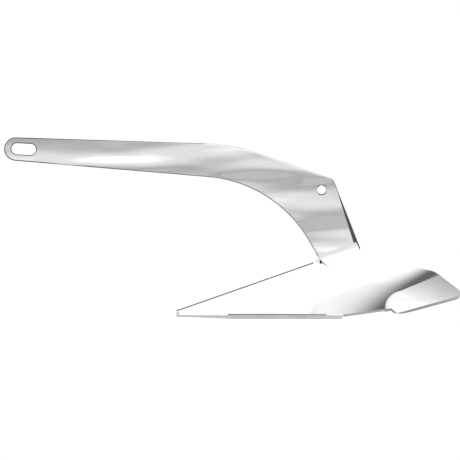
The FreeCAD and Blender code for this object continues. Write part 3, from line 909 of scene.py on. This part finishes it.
@dataclass
class Blade:
    """One side plate of the fluke: a flat panel that flares towards its crease."""

    side: Side
    form: FlukeForm
    outline: SideOutline
    thickness: float = 5.0
    rows: int = 150
    step: float = 2.0
    edge_radius: float = 0.6 * MM

    def build(self) -> bpy.types.Object:
        """Builds the plate as one closed shell and dresses it.

        Returns:
            The finished piece.
        """
        work = bmesh.new()
        columns = [self._column(x) for x in self.outline.stations(self.step)]
        loops = [[work.verts.new(self._mirrored(point)) for point in column] for column in columns]
        count = len(loops[0])
        for before, after in zip(loops, loops[1:]):
            for i in range(count):
                j = (i + 1) % count
                work.faces.new((before[i], before[j], after[j], after[i]))
        for end in (loops[0], loops[-1]):
            for i in range(self.rows):
                work.faces.new((end[i], end[i + 1], end[2 * self.rows - i], end[2 * self.rows + 1 - i]))
            work.faces.new((end[0], end[-2], end[-1]))
        bmesh.ops.remove_doubles(work, verts=work.verts, dist=0.000001)
        bmesh.ops.recalc_face_normals(work, faces=work.faces)
        for face in work.faces:
            face.smooth = True
        for edge in work.edges:
            edge.smooth = edge.calc_face_angle(0.0) < math.radians(30.0)
        piece_name = "blade_plate_" + self.side.label
        piece = object_from(mesh_from(work, piece_name), piece_name)
        piece.data.materials.append(BLADE_STEEL.material())
        piece.data.materials.append(INNER_STEEL.material())
        self._dress_inside(piece.data)
        rounding = piece.modifiers.new("rounding", "BEVEL")
        rounding.width = self.edge_radius
        rounding.segments = 2
        rounding.limit_method = "ANGLE"
        rounding.angle_limit = math.radians(40.0)
        return settle(piece, ["blade_" + self.side.label])

    def _dress_inside(self, mesh: bpy.types.Mesh) -> None:
        """Gives the faces that look inwards and down the inner finish.

        Args:
            mesh: the plate's mesh.
        """
        for face in mesh.polygons:
            if face.normal.y * self.side.value < -0.2 and face.normal.z < 0.2:
                face.material_index = 1

    def _mirrored(self, point: Sequence[float]) -> Vector:
        """The drawing's point on this blade's side, in metres."""
        return self.form.place(point[0], self.side.value * point[1], point[2])

    def _column(self, x: float) -> List[Tuple[float, float, float]]:
        """Closed loop of points round the plate at one station.

        Args:
            x: the station.

        Returns:
            Outer points from top to bottom, inner ones from bottom to top, and one at the top border.
        """
        section = Section(self.form, x)
        ahead = Section(self.form, x - 1.0)
        behind = Section(self.form, x + 1.0)
        seam = self.outline.seam
        tan = math.tan(math.radians(self.form.panel_angle))
        depth = self.thickness * math.sqrt(1.0 + tan ** 2 + self.form.ridge_slope ** 2)
        ridge = self.form.ridge_z(x) - seam * tan
        trailing = self.outline.trailing_z(x) if x > self.outline.ridge_end else ridge
        top = min(ridge, trailing)
        inner_top = min(ridge - depth, trailing)
        bottom, inner_drop = self._bottom(x)
        outer = []
        inner = []
        for i in range(self.rows + 1):
            share = i / self.rows
            z = top + (bottom - top) * share
            outer.append((x, section.half_width(z), z))
            z = inner_top + (bottom - inner_drop - inner_top) * share
            along = (behind.half_width(z) - ahead.half_width(z)) / 2.0
            down = (section.half_width(z + 1.0) - section.half_width(z - 1.0)) / 2.0
            lean = math.sqrt(1.0 + along ** 2 + down ** 2)
            inner.append((x, max(seam, section.half_width(z) - self.thickness * lean), z))
        first = outer[0]
        last = inner[0]
        corner = (x, seam, top) if first[1] > seam + 0.05 and last[1] < seam + 0.01 else None
        if corner is None:
            corner = (x, (first[1] + last[1]) / 2.0, (first[2] + last[2]) / 2.0)
        return outer + inner[::-1] + [corner]

    def _bottom(self, x: float) -> Point:
        """Where the plate ends below.

        Args:
            x: the station.

        Returns:
            The outer surface's lowest height, and how much lower the inner surface ends.
        """
        outline = self.outline
        if x < outline.heel[0]:
            return outline.sole_top, 0.0
        if x < outline.foot[0]:
            share = (x - outline.heel[0]) / (outline.foot[0] - outline.heel[0])
            lean = math.cos(math.radians(self.form.panel_angle))
            return outline.heel[1] + share * (outline.foot[1] - outline.heel[1]), self.thickness * lean
        return outline.crease_z(x), 0.0


@dataclass
class PlainPiece:
    """A piece whose CAD shape is right: a clean copy with crisp flats, smooth rounds and its own finish."""

    node: str
    name: str
    slot: str
    finish: Finish
    inner_finish: Optional[Finish] = None
    # Finish that paints a dark reflection on the edges or on the ridge's crown.
    painted_dark_edges: Optional[Finish] = None
    ridge: Optional[RoundedRidge] = None

    def build(self) -> bpy.types.Object:
        """Copies the node, shades it and dresses it.

        Returns:
            The finished piece.
        """
        piece = object_from(CleanCopy(self.node, self.ridge).build(), self.name)
        piece.data.materials.clear()
        piece.data.materials.append(self.finish.material())
        if self.inner_finish is not None:
            piece.data.materials.append(self.inner_finish.material())
            for face in piece.data.polygons:
                if face.normal.z < -0.35 and abs(face.normal.x) < 0.8:
                    face.material_index = 1
        # Painted dark reflection on the edges or the ridge's crown.
        if self.painted_dark_edges is not None:
            piece.data.materials.append(self.painted_dark_edges.material())
            self._paint_dark_edges(piece.data)
        self.reshape(piece.data)
        normals = piece.modifiers.new("crisp_flats", "WEIGHTED_NORMAL")
        normals.keep_sharp = True
        normals.weight = 50
        return settle(piece, [self.node])

    def reshape(self, mesh: bpy.types.Mesh) -> None:
        """Leaves the CAD shape as it is."""

    def _paint_dark_edges(self, mesh: bpy.types.Mesh) -> None:
        """Paints a dark reflection on a ridge's crown or on the bar's edges, but not on the countersinks
        round the eye nor on the bar's top towards the foot.

        Args:
            mesh: the piece's mesh.
        """
        last = len(mesh.materials) - 1
        for face in mesh.polygons:
            if self.ridge is not None:
                # Painted dark reflection on the ridge's crown.
                crown = face.normal.z > 0.5 and abs(face.center.y) < self.ridge.crown * MM
                face.material_index = last if crown else 0
                continue
            # Left out of the painted dark reflection: the countersinks round the eye and the bar's top
            # towards the foot.
            near_eye = math.hypot(face.center.x - EYE_X, face.center.z - EYE_Z) < EYE_MARGIN
            bright_top = face.center.x > BRIGHT_TOP_FROM and face.normal.z > BRIGHT_TOP_RISE
            if abs(face.normal.y) < FLAT_LIMIT and not near_eye and not bright_top:
                face.material_index = last


@dataclass
class ThroatWeld(PlainPiece):
    """Weld ahead of the bar's foot, which narrows as it runs out on the ridge and up the throat edge."""

    corner: Point = (0.1360, 0.0920)
    lead: float = 0.0095
    climb: float = 0.0105
    least: float = 0.3

    def reshape(self, mesh: bpy.types.Mesh) -> None:
        """Draws the outer surface in towards the middle plane.

        Args:
            mesh: the weld's mesh.
        """
        for vertex in mesh.vertices:
            out = (self.corner[0] - vertex.co.x) / self.lead + (vertex.co.z - self.corner[1]) / self.climb
            vertex.co.y *= 1.0 - (1.0 - self.least) * ease(out)


@dataclass
class WeldBead:
    """Bead of overlapping scales laid along the middle of a CAD weld, made by a Geometry Nodes tree."""

    node: str
    name: str
    run: Run
    finish: Finish
    spacing: float = 1.7 * MM
    size: Tuple[float, float, float] = (1.7 * MM, 2.4 * MM, 2.4 * MM)
    stops: int = 24
    seed: int = 7

    def build(self) -> bpy.types.Object:
        """Lays the bead.

        Returns:
            The finished piece, as a plain mesh.
        """
        path = bpy.data.meshes.new(self.name + "_path")
        points = self._middle_line()
        path.from_pydata(points, [(i, i + 1) for i in range(len(points) - 1)], [])
        guide = object_from(path, self.name + "_guide")
        material = self.finish.material()
        tree, sockets = self._tree()
        modifier = guide.modifiers.new("bead", "NODES")
        modifier.node_group = tree
        modifier[sockets["Spacing"]] = self.spacing
        modifier[sockets["Scale Size"]] = self.size
        modifier[sockets["Seed"]] = self.seed
        modifier[sockets["Metal"]] = material
        graph = bpy.context.evaluated_depsgraph_get()
        mesh = bpy.data.meshes.new_from_object(guide.evaluated_get(graph))
        guide.modifiers.remove(modifier)
        bpy.data.objects.remove(guide)
        mesh.materials.clear()
        mesh.materials.append(material)
        return settle(object_from(mesh, self.name), [self.node])

    def _middle_line(self) -> List[Vector]:
        """Middle of the CAD weld.

        Returns:
            Points along it, in order.
        """
        along = Vector(self.run.value)
        corners = [vertex.co.copy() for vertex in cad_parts[self.node].data.vertices]
        places = [corner.dot(along) for corner in corners]
        start = min(places)
        span = max(places) - start
        groups: List[List[Vector]] = [[] for _ in range(self.stops)]
        for corner, place in zip(corners, places):
            groups[min(self.stops - 1, int((place - start) / span * self.stops))].append(corner)
        filled = [group for group in groups if group]
        return [sum(group, Vector()) / len(group) for group in filled]

    def _tree(self) -> Tuple[bpy.types.NodeTree, Dict[str, str]]:
        """Node tree that sets flattened balls along a path, each a little different.

        Returns:
            The tree, and the identifier of each of its inputs by name.
        """
        tree = bpy.data.node_groups.new(self.name + "_tree", "GeometryNodeTree")
        tree.interface.new_socket("Geometry", in_out="OUTPUT", socket_type="NodeSocketGeometry")
        kinds = {
            "Geometry": "NodeSocketGeometry", "Spacing": "NodeSocketFloat", "Scale Size": "NodeSocketVector",
            "Seed": "NodeSocketInt", "Metal": "NodeSocketMaterial",
        }
        sockets = {
            name: tree.interface.new_socket(name, in_out="INPUT", socket_type=kind).identifier
            for name, kind in kinds.items()
        }
        graph = Graph(tree)
        given = graph.node("NodeGroupInput").outputs
        curve = graph.node("GeometryNodeMeshToCurve", None, {"Mesh": given["Geometry"]})
        inputs = {"Curve": curve.outputs[0], "Length": given["Spacing"]}
        steps = graph.node("GeometryNodeResampleCurve", {"mode": "LENGTH"}, inputs)
        ball = graph.node("GeometryNodeMeshIcoSphere", None, {"Radius": 1.0, "Subdivisions": 3})
        smooth = graph.node("GeometryNodeSetShadeSmooth", None, {0: ball.outputs[0]})
        tangent = graph.node("GeometryNodeInputTangent")
        inputs = {"Vector": tangent.outputs[0]}
        turn = graph.node("FunctionNodeAlignRotationToVector", {"axis": "X"}, inputs)
        inputs = {2: 0.9, 3: 1.1, "Seed": given["Seed"]}
        spread = graph.node("FunctionNodeRandomValue", {"data_type": "FLOAT"}, inputs)
        size = graph.node("ShaderNodeVectorMath", {"operation": "SCALE"}, {0: given["Scale Size"]})
        tree.links.new(spread.outputs[1], size.inputs["Scale"])
        inputs = {
            "Points": steps.outputs[0], "Instance": smooth.outputs[0], "Rotation": turn.outputs[0],
            "Scale": size.outputs[0],
        }
        scales = graph.node("GeometryNodeInstanceOnPoints", None, inputs)
        solid = graph.node("GeometryNodeRealizeInstances", None, {0: scales.outputs[0]})
        inputs = {"Geometry": solid.outputs[0], "Material": given["Metal"]}
        dressed = graph.node("GeometryNodeSetMaterial", None, inputs)
        graph.node("NodeGroupOutput", None, {0: dressed.outputs[0]})
        return tree, sockets


# ---------------------------------------------------------------------------------------------- stage


@dataclass(frozen=True)
class SoftZone:
    """Light that takes over softly between two angles from straight up, in degrees; minus is in front."""

    start: float
    full: float
    level: float


@dataclass
class Studio:
    """Pale floor, soft surroundings and the camera."""

    aim: Tuple[float, float] = (-0.00235, 0.137)
    distance: float = 23.0
    lens: float = 1168.5
    floor_radius: float = 0.62
    floor_glow: float = 0.8
    floor_glow_mirrored: float = 0.18
    low_level: float = 0.5
    front_wall: SoftZone = SoftZone(start=-110.0, full=-70.0, level=0.9)
    bank: SoftZone = SoftZone(start=-70.0, full=-50.0, level=1.3)
    gap: SoftZone = SoftZone(start=-5.0, full=20.0, level=0.15)
    back_wall: SoftZone = SoftZone(start=25.0, full=50.0, level=0.8)
    end_start: float = 0.2
    end_full: float = 0.5
    end_level: float = 0.2
    end_front: float = -0.4
    end_back: float = 0.1
    seen_directly: float = 1.02

    def build(self) -> None:
        """Builds the floor, the surroundings and the camera."""
        self._camera()
        self._floor()
        self._surroundings()

    def _camera(self) -> None:
        """Puts the camera square to the port side."""
        data = bpy.data.cameras.new("camera")
        data.lens = self.lens
        data.sensor_width = 36.0
        data.clip_end = 60.0
        camera = bpy.data.objects.new("camera", data)
        camera.location = (self.aim[0], -self.distance, self.aim[1])
        camera.rotation_euler = (math.radians(90.0), 0.0, 0.0)
        bpy.context.scene.collection.objects.link(camera)
        bpy.context.scene.camera = camera

    def _floor(self) -> None:
        """Builds a round pale floor with a softly lit surface."""
        work = bmesh.new()
        bmesh.ops.create_circle(work, cap_ends=True, segments=96, radius=self.floor_radius)
        for vertex in work.verts:
            vertex.co.z = -0.0002
        floor = object_from(mesh_from(work, "floor"), "floor")
        material = bpy.data.materials.new("pale_floor")
        material.use_nodes = True
        graph = Graph(material.node_tree)
        place = graph.wire("ShaderNodeTexCoord", None, None, "Object")
        colour = graph.tint(graph.noise(place, 3.0), (0.50, 0.50, 0.50, 1.0), (0.54, 0.54, 0.54, 1.0))
        direct = graph.wire("ShaderNodeLightPath", None, None, "Is Camera Ray")
        glow = direct * (self.floor_glow - self.floor_glow_mirrored) + self.floor_glow_mirrored
        inputs = {
            "Base Color": colour, "Roughness": 0.9, "Emission Color": (1.0, 1.0, 1.0, 1.0),
            "Emission Strength": glow, "Specular IOR Level": 0.1,
        }
        shader = graph.node("ShaderNodeBsdfPrincipled", None, inputs)
        output = graph.node("ShaderNodeOutputMaterial")
        material.node_tree.links.new(shader.outputs[0], output.inputs["Surface"])
        floor.data.materials.append(material)

    def _surroundings(self) -> None:
        """Soft light: pale walls, a wide white bank overhead, a dark gap behind it and a darker end wall."""
        world = bpy.data.worlds.new("studio")
        bpy.context.scene.world = world
        world.use_nodes = True
        graph = Graph(world.node_tree)
        place = graph.wire("ShaderNodeTexCoord", None, None, "Generated")
        parts = graph.node("ShaderNodeSeparateXYZ", None, {0: place})
        x, y, z = (Wire(graph, parts.outputs[i]) for i in range(3))
        over = y.atan2(z) * math.degrees(1.0)
        level: Value = self.low_level
        for zone in (self.front_wall, self.bank, self.gap, self.back_wall):
            level = self._blend(graph, over.rise(zone.start, zone.full), level, zone.level)
        end = x.rise(self.end_start, self.end_full) * (1.0 - y.rise(self.end_front, self.end_back))
        level = self._blend(graph, end, level, self.end_level)
        direct = graph.wire("ShaderNodeLightPath", None, None, "Is Camera Ray")
        level = self._blend(graph, direct, level, self.seen_directly)
        colour = graph.wire("ShaderNodeCombineColor", None, {0: level, 1: level, 2: level})
        background = graph.node("ShaderNodeBackground", None, {"Color": colour, "Strength": 1.0})
        output = graph.node("ShaderNodeOutputWorld")
        world.node_tree.links.new(background.outputs[0], output.inputs["Surface"])
        view = bpy.context.scene.view_settings
        view.view_transform = "Standard"
        view.look = "None"

    @staticmethod
    def _blend(graph: Graph, factor: Value, first: Value, second: Value) -> Wire:
        """Blend of two levels.

        Args:
            graph: the graph to add nodes to.
            factor: 0 for the first, 1 for the second.
            first: a level.
            second: a level.

        Returns:
            The blended level.
        """
        inputs = {0: factor, 2: first, 3: second}
        return graph.wire("ShaderNodeMix", {"data_type": "FLOAT"}, inputs)


# ------------------------------------------------------------------------------------------- assembly


@dataclass
class Anchor:
    """The whole anchor, made piece by piece."""

    form: FlukeForm
    outline: SideOutline

    def build(self) -> None:
        """Builds every shown piece."""
        ridge = RoundedRidge(self.form)
        # The bar's edges and the ridge's crown get a painted dark reflection.
        PlainPiece("shank", "shank_bar", "polished_stainless", SHANK_STEEL, painted_dark_edges=PAINTED_DARK_EDGE).build()
        plate, weld = "polished_stainless", "ground_weld"
        PlainPiece("nose_point", "toe", plate, BLADE_STEEL, painted_dark_edges=PAINTED_DARK_RIDGE, ridge=ridge).build()
        PlainPiece("nose_seam", "toe_seam", weld, SEAM_STEEL, painted_dark_edges=PAINTED_DARK_RIDGE, ridge=ridge).build()
        PlainPiece("ridge_seam", "ridge_weld", weld, SEAM_STEEL, painted_dark_edges=PAINTED_DARK_RIDGE, ridge=ridge).build()
        PlainPiece("sole_plate", "sole", "sole_stainless", SOLE_STEEL).build()
        PlainPiece("bulkhead", "inner_bulkhead", "inner_stainless", INNER_STEEL).build()
        PlainPiece("ballast", "toe_weight", "ballast_iron", CastIron()).build()
        ThroatWeld("root_weld_front", "throat_weld", "ground_weld", SEAM_STEEL).build()
        for side in Side:
            Blade(side, self.form, self.outline).build()
            end = "_" + side.label
            PlainPiece("wing" + end, "wing_plate" + end, "blade_stainless", WING_STEEL, INNER_STEEL).build()
            PlainPiece("root_weld" + end, "shank_weld" + end, "ground_weld", SEAM_STEEL).build()
            PlainPiece("sole_weld" + end, "lower_weld" + end, "ground_weld", SEAM_STEEL).build()
            WeldBead("wing_weld" + end, "crease_weld" + end, Run.RISING_AFT, LAID_WELD).build()
            WeldBead("bulkhead_weld" + end, "inner_weld" + end, Run.UP, LAID_WELD, size=INNER_SCALE).build()


def main() -> None:
    """Builds the anchor and its studio."""
    logging.basicConfig(level=logging.INFO, format="%(message)s")
    Anchor(FlukeForm(), SideOutline()).build()
    Studio().build()


if __name__ == "__main__":
    main()
